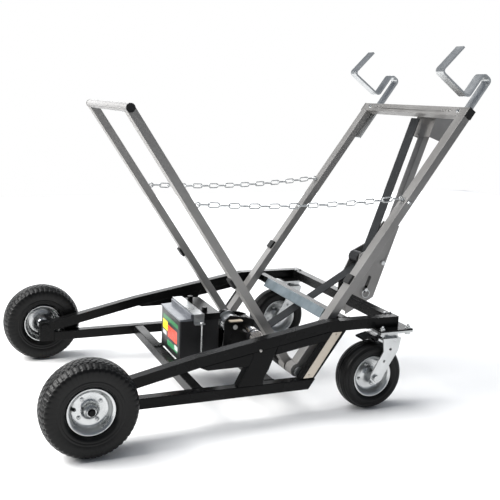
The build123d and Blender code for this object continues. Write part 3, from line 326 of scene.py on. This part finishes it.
# ------------------------------------------------------------------ mesh helpers
def finished(name, bm, material, body, smooth=True):
    """Object made from the mesh code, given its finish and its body."""
    bmesh.ops.recalc_face_normals(bm, faces=bm.faces)
    mesh = bpy.data.meshes.new(name)
    bm.to_mesh(mesh)
    bm.free()
    for face in mesh.polygons:
        face.use_smooth = smooth
    mesh.materials.append(material)
    obj = bpy.data.objects.new(name, mesh)
    scene.collection.objects.link(obj)
    if body:
        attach(obj, body)
    return obj


def lathe(bm, profile, centre, steps):
    """Ring of (radius, y) points turned about a Y line through the centre."""
    rings = []
    for i in range(steps):
        a = 2 * pi * i / steps
        rings.append([
            bm.verts.new((centre[0] + r * cos(a), centre[1] + y, centre[2] + r * sin(a))) for r, y in profile
        ])
    count = len(profile)
    for i in range(steps):
        one, two = rings[i], rings[(i + 1) % steps]
        for k in range(count):
            m = (k + 1) % count
            bm.faces.new((one[k], one[m], two[m], two[k]))


def prism(bm, centre, normal, radius, height, sides, bevel=0.0):
    """Nut or bolt head standing on a point, facing along the normal."""
    turn = Vector((0, 0, 1)).rotation_difference(Vector(normal)).to_matrix().to_4x4()
    place = Matrix.Translation(Vector(centre)) @ turn
    levels = ((radius - bevel, 0.0), (radius, bevel), (radius, height - bevel), (radius - 2 * bevel, height))
    rings = []
    for r, h in levels:
        points = [(r * cos(2 * pi * i / sides), r * sin(2 * pi * i / sides), h) for i in range(sides)]
        rings.append([bm.verts.new(place @ Vector(point)) for point in points])
    for low, high in zip(rings[:-1], rings[1:]):
        for i in range(sides):
            j = (i + 1) % sides
            bm.faces.new((low[i], low[j], high[j], high[i]))
    bm.faces.new(rings[0][::-1])
    bm.faces.new(rings[-1])


def wheel_centre(node):
    lo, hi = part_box(node)
    return tuple((a + b) / 2 for a, b in zip(lo, hi))


# ------------------------------------------------------------------ tyres
# Sizes in metres: Y runs across a wheel, and both kinds of rim have the same flange
RIM_FLANGE_R = 0.065
FRONT_HALF = 0.046
FRONT_BEAD = 0.0295
CASTOR_HALF = 0.035
CASTOR_BEAD = 0.0235
BLOCK_GROOVES = (-0.0185, -0.0062, 0.0062, 0.0185)
BLOCK_DEPTH = 0.0034
GROOVE_SWING = 0.0022
RIB_GROOVES = (-0.017, -0.0058, 0.0058, 0.017)
RIB_DEPTH = 0.0028
LUGS = 48
LUG_IN = 0.0017
LUG_ACROSS = 0.0020


def blend_in(value, a, b):
    """Smooth step from 0 at a to 1 at b."""
    t = min(max((value - a) / (b - a), 0.0), 1.0)
    return t * t * (3 - 2 * t)


def zigzag(turns):
    """Triangle wave from -1 to 1."""
    t = turns % 1.0
    return 4 * abs(t - 0.5) - 1


def tyre_section(r, half, flange, bead):
    """Outline from the bead out to the shoulder, as (radius, y)."""
    side = [
        (flange - 0.0080, bead - 0.0120), (flange - 0.0050, bead - 0.0030), (flange - 0.0010, bead + 0.0004),
        (flange + 0.0012, bead + 0.0014),
        (flange + 0.0040, bead + 0.0060), (flange + 0.0090, half - 0.0030), (flange + 0.0105, half - 0.0022),
        (flange + 0.0120, half - 0.0020), (flange + 0.0150, half - 0.0008), (flange + 0.0162, half - 0.0016),
        (flange + 0.0174, half - 0.0004), (flange + 0.0225, half), (flange + 0.0236, half - 0.0008),
        (flange + 0.0248, half),
    ]
    steps = 7
    corner = 0.024
    for i in range(steps + 1):
        a = pi / 2 * i / steps
        radius = r - corner * 0.55 - 0.0006 + (corner * 0.5) * sin(a) - 0.006
        side.append((radius, half - 0.009 * (1 - cos(a))))
    return side


def build_tyre(name, node, body, half, bead, kind):
    """Tyre with block tread and lugs, or with plain ribs, in place of a CAD tyre."""
    lo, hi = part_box(node)
    centre = wheel_centre(node)
    r = (hi[2] - lo[2]) / 2
    side = tyre_section(r, half, RIM_FLANGE_R, bead)
    shoulder_r, shoulder_y = side[-1]
    # Crowned tread between the two shoulders
    cells = 56 if kind == "block" else 48
    tread = []
    for i in range(1, cells):
        y = shoulder_y * (1 - 2 * i / cells)
        tread.append((y, shoulder_r + (r - shoulder_r) * (1 - abs(y / shoulder_y) ** 3.2)))
    steps = 432 if kind == "block" else 300
    bm = bmesh.new()
    rings = []
    for i in range(steps):
        a = 2 * pi * i / steps
        turn = i / steps
        ring = [(sr, sy) for sr, sy in side]
        # Lugs that run from the tread edge down the shoulder
        if kind == "block":
            for k in range(len(side) - 8, len(side)):
                notch = blend_in(zigzag(turn * LUGS + 0.25), 0.15, 0.45)
                fade = (k - (len(side) - 9)) / 8
                ring[k] = (side[k][0] - LUG_IN * notch * fade, side[k][1] - LUG_ACROSS * notch * fade)
        for y, tr in tread:
            depth = 0.0
            if kind == "block":
                for line in BLOCK_GROOVES:
                    way = 1 if line > 0 else -1
                    late = 0.5 if abs(line) > 0.01 else 0.0
                    middle = line + GROOVE_SWING * zigzag(turn * LUGS + late) * way
                    depth = max(depth, 1 - blend_in(abs(y - middle), 0.0012, 0.0025))
                edge = blend_in(abs(y), 0.022, 0.026)
                depth = max(depth, 0.5 * edge * blend_in(zigzag(turn * LUGS + 0.25), 0.15, 0.45))
                drop = BLOCK_DEPTH
            else:
                for line in RIB_GROOVES:
                    depth = max(depth, 1 - blend_in(abs(y - line), 0.0009, 0.0019))
                drop = RIB_DEPTH
            ring.append((tr - drop * depth, y))
        for k in range(len(side) - 1, -1, -1):
            sr, sy = ring[k]
            ring.append((sr, -sy))
        points = [(centre[0] + pr * cos(a), centre[1] + py, centre[2] + pr * sin(a)) for pr, py in ring]
        rings.append([bm.verts.new(point) for point in points])
    count = len(rings[0])
    for i in range(steps):
        one, two = rings[i], rings[(i + 1) % steps]
        for k in range(count):
            m = (k + 1) % count
            bm.faces.new((one[k], one[m], two[m], two[k]))
    obj = finished(name, bm, rubber, body)
    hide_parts(node)


for side, _ in SIDES:
    build_tyre("front_tyre_mesh_" + side, "front_tyre_" + side, "front_wheel_" + side,
               FRONT_HALF, FRONT_BEAD, "block")
    build_tyre("castor_tyre_mesh_" + side, "castor_tyre_" + side, "castor_wheel_" + side,
               CASTOR_HALF, CASTOR_BEAD, "rib")

# ------------------------------------------------------------------ rims and hubs
# Outer face of a front rim, from the rolled lip down into the well and up the hub, as (radius, y)
FRONT_FACE = [
    (0.0648, 0.0316), (0.0652, 0.0326), (0.0646, 0.0337), (0.0634, 0.0339), (0.0606, 0.0326),
    (0.0578, 0.0306), (0.0556, 0.0280), (0.0540, 0.0245), (0.0528, 0.0200), (0.0516, 0.0150),
    (0.0498, 0.0112), (0.0465, 0.0092), (0.0430, 0.0086), (0.0290, 0.0086), (0.0250, 0.0098),
    (0.0215, 0.0130), (0.0198, 0.0170), (0.0194, 0.0255), (0.0180, 0.0285), (0.0140, 0.0292),
    (0.0136, 0.0330), (0.0126, 0.0342), (0.0096, 0.0344),
]
# Hub bore, back of the disc and the tyre's seat on a front rim
FRONT_BACK = [
    (0.0096, -0.0378), (0.0190, -0.0378), (0.0190, 0.0050), (0.0430, 0.0060), (0.0478, 0.0060),
    (0.0485, 0.0030), (0.0490, -0.0150), (0.0530, -0.0245), (0.0578, -0.0306), (0.0634, -0.0339),
    (0.0652, -0.0326), (0.0640, -0.0314), (0.0590, -0.0290), (0.0550, -0.0240), (0.0515, -0.0140),
    (0.0512, 0.0), (0.0532, 0.0130), (0.0556, 0.0245), (0.0592, 0.0290),
]
# One side of a castor rim, whose disc lies in the middle
CASTOR_FACE = [
    (0.0648, 0.0258), (0.0652, 0.0268), (0.0646, 0.0277), (0.0634, 0.0279), (0.0606, 0.0268),
    (0.0578, 0.0250), (0.0556, 0.0226), (0.0540, 0.0195), (0.0528, 0.0150), (0.0512, 0.0080),
    (0.0490, 0.0048), (0.0450, 0.0032), (0.0300, 0.0032), (0.0240, 0.0044), (0.0190, 0.0080),
    (0.0160, 0.0130), (0.0150, 0.0180), (0.0150, 0.0380), (0.0144, 0.0387), (0.0064, 0.0388),
]
# Outer side of a castor rim, where the tyre sits
CASTOR_SEAT = [
    (0.0640, -0.0254), (0.0592, -0.0236), (0.0552, -0.0190), (0.0535, -0.0100), (0.0530, 0.0),
    (0.0535, 0.0100), (0.0552, 0.0190), (0.0592, 0.0236),
]
RIM_STEPS = 128
FRONT_BOLT_CIRCLE = 0.0355
CASTOR_BOLT_CIRCLE = 0.0345

for side, sign in SIDES:
    centre = wheel_centre("front_tyre_" + side)
    body = "front_wheel_" + side
    bm = bmesh.new()
    lathe(bm, [(r, y * sign) for r, y in FRONT_FACE + FRONT_BACK], centre, RIM_STEPS)
    # Round bolt heads that hold the disc to the hub
    for i in range(4):
        a = pi / 2 * i + radians(35)
        x, z = FRONT_BOLT_CIRCLE * cos(a), FRONT_BOLT_CIRCLE * sin(a)
        spot = (centre[0] + x, centre[1] + sign * 0.0084, centre[2] + z)
        prism(bm, spot, (0, sign, 0), 0.0052, 0.0026, 24, 0.0009)
        prism(bm, spot, (0, sign, 0), 0.0030, 0.0044, 6, 0.0004)
    rim = finished("front_rim_mesh_" + side, bm, zinc, body)
    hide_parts("front_rim_" + side)
    # Rubber valve stem leaning out of the well, with its cap
    bm = bmesh.new()
    lean = Vector((-0.35, sign, 0.45)).normalized()
    foot = Vector((centre[0] - 0.0400, centre[1] + sign * 0.0080, centre[2] + 0.0020))
    prism(bm, foot, lean, 0.0048, 0.0040, 20, 0.0010)
    prism(bm, foot + lean * 0.0035, lean, 0.0033, 0.0110, 20, 0.0006)
    prism(bm, foot + lean * 0.0140, lean, 0.0042, 0.0095, 14, 0.0008)
    finished("valve_" + side, bm, plastic, body)

    centre = wheel_centre("castor_tyre_" + side)
    bm = bmesh.new()
    far_side = [(r, -y) for r, y in CASTOR_FACE[::-1]]
    lathe(bm, CASTOR_FACE + far_side + CASTOR_SEAT, centre, RIM_STEPS)
    for end in (-1, 1):
        for i in range(4):
            a = pi / 2 * i + radians(20)
            x, z = CASTOR_BOLT_CIRCLE * cos(a), CASTOR_BOLT_CIRCLE * sin(a)
            spot = (centre[0] + x, centre[1] + end * 0.0030, centre[2] + z)
            prism(bm, spot, (0, end, 0), 0.0050, 0.0042, 6, 0.0006)
    rim = finished("castor_rim_mesh_" + side, bm, zinc, "castor_wheel_" + side)
    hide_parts("castor_rim_" + side)

# ------------------------------------------------------------------ battery label
lo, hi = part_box("battery_case")
bm = bmesh.new()
thick = 0.0004
margin = 0.010
top_margin = 0.006
corner_r = 0.004
front = lo[0]
outline = []
for cy, cz, start in ((hi[1] - margin, hi[2] - top_margin, 0), (lo[1] + margin, hi[2] - top_margin, 90),
                      (lo[1] + margin, lo[2] + margin, 180), (hi[1] - margin, lo[2] + margin, 270)):
    for i in range(7):
        a = radians(start + 15 * i)
        outline.append((cy + corner_r * cos(a), cz + corner_r * sin(a)))
near = [bm.verts.new((front - thick, y, z)) for y, z in outline]
back = [bm.verts.new((front + thick, y, z)) for y, z in outline]
bm.faces.new(near)
bm.faces.new(back[::-1])
for i in range(len(outline)):
    j = (i + 1) % len(outline)
    bm.faces.new((near[i], back[i], back[j], near[j]))
finished("battery_label", bm, label_material(), "chassis", smooth=False)

# ------------------------------------------------------------------ chains
# Each run has the CAD links' own mesh, left in place between the two frames it joins
for side, _ in SIDES:
    source = nodes["chain_" + side]
    mesh = source.data.copy()
    mesh.materials.clear()
    mesh.materials.append(zinc)
    for face in mesh.polygons:
        face.use_smooth = True
    run = bpy.data.objects.new("chain_run_" + side, mesh)
    scene.collection.objects.link(run)
    lo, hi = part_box("chain_" + side)
    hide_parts("chain_" + side)
    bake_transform(run)

# ------------------------------------------------------------------ strap from the roller to the cross bar
lo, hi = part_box("strap_upper")
half_thick = 0.00105
half_wide = 0.0249
low_end = Vector((lo[0] + 0.0010, 0, lo[2] + 0.0004))
high_end = Vector((hi[0] - 0.0010, 0, hi[2] - 0.0004))
along = (high_end - low_end).normalized()
across = Vector((0, 1, 0))
out = along.cross(across).normalized()
rows = 90
columns = 16
bm = bmesh.new()
grid = []
for i in range(rows + 1):
    u = i / rows
    loop = []
    # Place across the band from -1 to 1, with the face it is on
    spots = [(2 * j / columns - 1, 1) for j in range(columns + 1)]
    spots += [(1 - 2 * j / columns, -1) for j in range(columns + 1)]
    for v, face in spots:
        # The band swells near each edge, then thins to it
        edge = 1.0 - 0.25 * blend_in(abs(v), 0.88, 1.0) + 0.12 * blend_in(abs(v), 0.70, 0.86)
        ripple = 0.00012 * sin(u * 90) * cos(v * 3)
        rise = out * (half_thick * edge * 0.9 * face + ripple)
        point = low_end.lerp(high_end, u) + across * (half_wide * v) + rise
        loop.append(bm.verts.new(point))
    grid.append(loop)
count = len(grid[0])
for one, two in zip(grid[:-1], grid[1:]):
    for k in range(count):
        m = (k + 1) % count
        bm.faces.new((one[k], one[m], two[m], two[k]))
bm.faces.new(grid[0][::-1])
bm.faces.new(grid[-1])
strap = finished("strap_run", bm, webbing, None)
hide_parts("strap_upper")
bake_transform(strap)


# ------------------------------------------------------------------ weld beads
def bead(name, path, body, material, slot, width):
    """Rippled weld laid along a path of points."""
    bm = bmesh.new()
    ring_size = 8
    points = [Vector(p) for p in path]
    fine = []
    for a, b in zip(points[:-1], points[1:]):
        steps = max(2, int((b - a).length / 0.0012))
        fine += [a.lerp(b, i / steps) for i in range(steps)]
    fine.append(points[-1])
    rings = []
    for i, p in enumerate(fine):
        ahead = fine[min(i + 1, len(fine) - 1)] - fine[max(i - 1, 0)]
        ahead.normalize()
        one = ahead.orthogonal().normalized()
        two = ahead.cross(one)
        size = width * (1 + 0.13 * sin(i * 2.1))
        angles = [2 * pi * k / ring_size for k in range(ring_size)]
        rings.append([bm.verts.new(p + size * (one * cos(a) + two * sin(a))) for a in angles])
    for one, two in zip(rings[:-1], rings[1:]):
        for k in range(ring_size):
            m = (k + 1) % ring_size
            bm.faces.new((one[k], one[m], two[m], two[k]))
    bm.faces.new(rings[0][::-1])
    bm.faces.new(rings[-1])
    finished(name, bm, material, body)


bead_inset = 0.0008
for tube in ("front_tube", "winch_tube"):
    lo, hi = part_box(tube)
    for side, sign in SIDES:
        y = sign * (hi[1] - bead_inset)
        bead("weld_" + tube + "_" + side,
             [(lo[0], y, lo[2] + 0.002), (lo[0], y, hi[2]), (hi[0], y, hi[2]), (hi[0], y, lo[2] + 0.002)],
             "chassis", black_paint, "frame_black", 0.0018)
tube_wide = 0.0254
lo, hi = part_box("mid_tube")
for side, sign in SIDES:
    x0, x1 = hi[0] - tube_wide, hi[0]
    y = sign * (hi[1] - bead_inset)
    foot = hi[2] - 0.024
    bead("weld_mid_tube_" + side, [(x1, y, foot), (x1, y, hi[2]), (x0, y, hi[2]), (x0, y, foot)],
         "chassis", black_paint, "frame_black", 0.0016)

# ------------------------------------------------------------------ bolts, band and tag
# Two bolts in the end of the motor
lo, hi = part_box("winch_motor")
mid = ((lo[0] + hi[0]) / 2, lo[1], (lo[2] + hi[2]) / 2)
bolt_circle = 0.0155
bm = bmesh.new()
for a in (radians(40), radians(220)):
    spot = (mid[0] + bolt_circle * cos(a), lo[1] + 0.0041, mid[2] + bolt_circle * sin(a))
    prism(bm, spot, (0, -1, 0), 0.0032, 0.0030, 6, 0.0004)
finished("motor_bolts", bm, worn_steel, "chassis", smooth=False)
# Painted tag on the winch's tie plate, proud of it all round
bm = bmesh.new()
tag_x, tag_y, tag_z = -0.0537, -0.0490, 0.2210
half_x, half_y, half_z, soft = 0.0225, 0.0104, 0.0018, 0.0030
edge = 0.0004
rings = []
for drop, level in ((edge, -half_z), (0.0, -half_z + edge), (0.0, half_z - edge), (edge, half_z)):
    ring = []
    for cx, cy, start in ((1, 1, 0), (-1, 1, 90), (-1, -1, 180), (1, -1, 270)):
        for i in range(6):
            a = radians(start + 18 * i)
            x = tag_x + cx * (half_x - soft) + (soft - drop) * cos(a)
            y = tag_y + cy * (half_y - soft) + (soft - drop) * sin(a)
            ring.append(bm.verts.new((x, y, tag_z + level)))
    rings.append(ring)
for low, high in zip(rings[:-1], rings[1:]):
    for i in range(len(low)):
        k = (i + 1) % len(low)
        bm.faces.new((low[i], low[k], high[k], high[i]))
bm.faces.new(rings[0][::-1])
bm.faces.new(rings[-1])
finished("winch_tag", bm, tag_paint, "chassis", smooth=False)

# Clamp band round the motor
bm = bmesh.new()
band = [(0.0231, 0.020), (0.0236, 0.0205), (0.0236, 0.0295), (0.0231, 0.030)]
lathe(bm, band, mid, 64)
finished("motor_band", bm, plastic, "chassis")

# Bolt head on each wide post
bm = bmesh.new()
lo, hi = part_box("mid_post_left")
post_bolt_x = hi[0] - 0.2363
for _, sign in SIDES:
    prism(bm, (post_bolt_x, sign * 0.3521, 0.2220), (0, sign, 0), 0.0048, 0.0026, 24, 0.0010)
finished("post_bolts", bm, worn_steel, "chassis")

# Washers, nuts and threaded ends on top of the castor pads, and bolt heads near the ends of the rear tube
corner_x, corner_y = 0.0110, 0.040
for side, sign in SIDES:
    lo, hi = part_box("castor_plate_" + side)
    middle_y = (lo[1] + hi[1]) / 2
    bm = bmesh.new()
    for x, y in ((hi[0] - corner_x, middle_y + corner_y), (hi[0] - corner_x, middle_y - corner_y),
                 (lo[0] + corner_x, middle_y + sign * corner_y)):
        prism(bm, (x, y, hi[2] - 0.0004), (0, 0, 1), 0.0095, 0.0018, 28, 0.0005)
        prism(bm, (x, y, hi[2] + 0.0012), (0, 0, 1), 0.0075, 0.0062, 6, 0.0009)
        prism(bm, (x, y, hi[2] + 0.0070), (0, 0, 1), 0.0038, 0.0060, 16, 0.0008)
    finished("castor_nuts_" + side, bm, zinc, "chassis", smooth=False)
    bm = bmesh.new()
    rail_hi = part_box("top_rail_" + side)[1]
    for x in (rail_hi[0] - 0.0070, rail_hi[0] - 0.0240):
        prism(bm, (x, sign * 0.3100, rail_hi[2] - 0.0019), (0, 0, 1), 0.0066, 0.0046, 6, 0.0009)
    finished("tube_bolts_" + side, bm, zinc, "chassis", smooth=False)

# ------------------------------------------------------------------ floor, lights and camera
pale_floor = surface(
    "pale_floor", (0.86, 0.86, 0.86), (0.90, 0.90, 0.90), 0.0, (0.75, 0.85), patch=2.0, height=0.02)
bm = bmesh.new()
reach = 4.6
corners = ((-reach, -reach, 0), (reach, -reach, 0), (reach, reach, 0), (-reach, reach, 0))
bm.faces.new([bm.verts.new(corner) for corner in corners])
floor_mesh = bpy.data.meshes.new("floor")
bm.to_mesh(floor_mesh)
bm.free()
floor_mesh.materials.append(pale_floor)
floor = bpy.data.objects.new("floor", floor_mesh)
scene.collection.objects.link(floor)

world = bpy.data.worlds.new("studio")
scene.world = world
world.use_nodes = True
# The studio is seen as white but lights the object more gently
sky = world.node_tree
lit = sky.nodes["Background"]
lit.inputs["Color"].default_value = (0.80, 0.88, 1.0, 1)
lit.inputs["Strength"].default_value = 0.26
seen = sky.nodes.new("ShaderNodeBackground")
seen.inputs["Color"].default_value = (1, 1, 1, 1)
ray = sky.nodes.new("ShaderNodeLightPath")
pick = sky.nodes.new("ShaderNodeMixShader")
sky.links.new(ray.outputs["Is Camera Ray"], pick.inputs[0])
sky.links.new(lit.outputs[0], pick.inputs[1])
sky.links.new(seen.outputs[0], pick.inputs[2])
sky.links.new(pick.outputs[0], sky.nodes["World Output"].inputs["Surface"])


def soft_light(name, place, target, size, power, colour=(1, 1, 1)):
    """Rectangular area light aimed at a point, hidden from the camera."""
    data = bpy.data.lights.new(name, "AREA")
    data.shape = "RECTANGLE"
    data.size = size[0]
    data.size_y = size[1]
    data.energy = power
    data.color = colour
    light = bpy.data.objects.new(name, data)
    light.location = place
    light.rotation_euler = (Vector(target) - Vector(place)).to_track_quat("-Z", "Y").to_euler()
    light.visible_camera = False
    scene.collection.objects.link(light)


soft_light("key", (-3.0, 0.3, 2.2), (0, 0, 0.4), (2.0, 2.0), 190, (1.0, 0.99, 0.97))
soft_light("top", (0.2, 0.4, 3.4), (0, 0, 0.3), (2.6, 2.0), 30)
sun_data = bpy.data.lights.new("overhead", "SUN")
sun_data.energy = 2.1
sun_data.angle = radians(40)
sun = bpy.data.objects.new("overhead", sun_data)
sun.rotation_euler = (radians(-14), radians(-24), 0)
scene.collection.objects.link(sun)
soft_light("back", (1.2, 5.2, 1.3), (0, 0, 0.5), (6.5, 2.2), 130)
soft_light("fill", (2.2, -2.6, 1.4), (0, 0, 0.4), (1.6, 1.6), 2)

# Camera: position, heading, downward tilt and roll in the model's frame
eye = Vector((-1.01132, -2.30885, 0.95139))
yaw = radians(21.880)
pitch = radians(10.955)
roll = radians(1.895)
forward = Vector((sin(yaw) * cos(pitch), cos(yaw) * cos(pitch), -sin(pitch)))
right = Vector((cos(yaw), -sin(yaw), 0))
up = right.cross(forward)
right_rolled = right * cos(roll) + up * sin(roll)
up_rolled = up * cos(roll) - right * sin(roll)
camera_data = bpy.data.cameras.new("camera")
camera_data.sensor_width = 36.0
camera_data.lens = 55.8
camera_data.shift_x = 0.0516
camera_data.shift_y = -0.0118
camera = bpy.data.objects.new("camera", camera_data)
turn = Matrix((right_rolled, up_rolled, -forward)).transposed().to_4x4()
camera.matrix_world = Matrix.Translation(eye) @ turn
scene.collection.objects.link(camera)
scene.camera = camera
scene.view_settings.view_transform = "Standard"
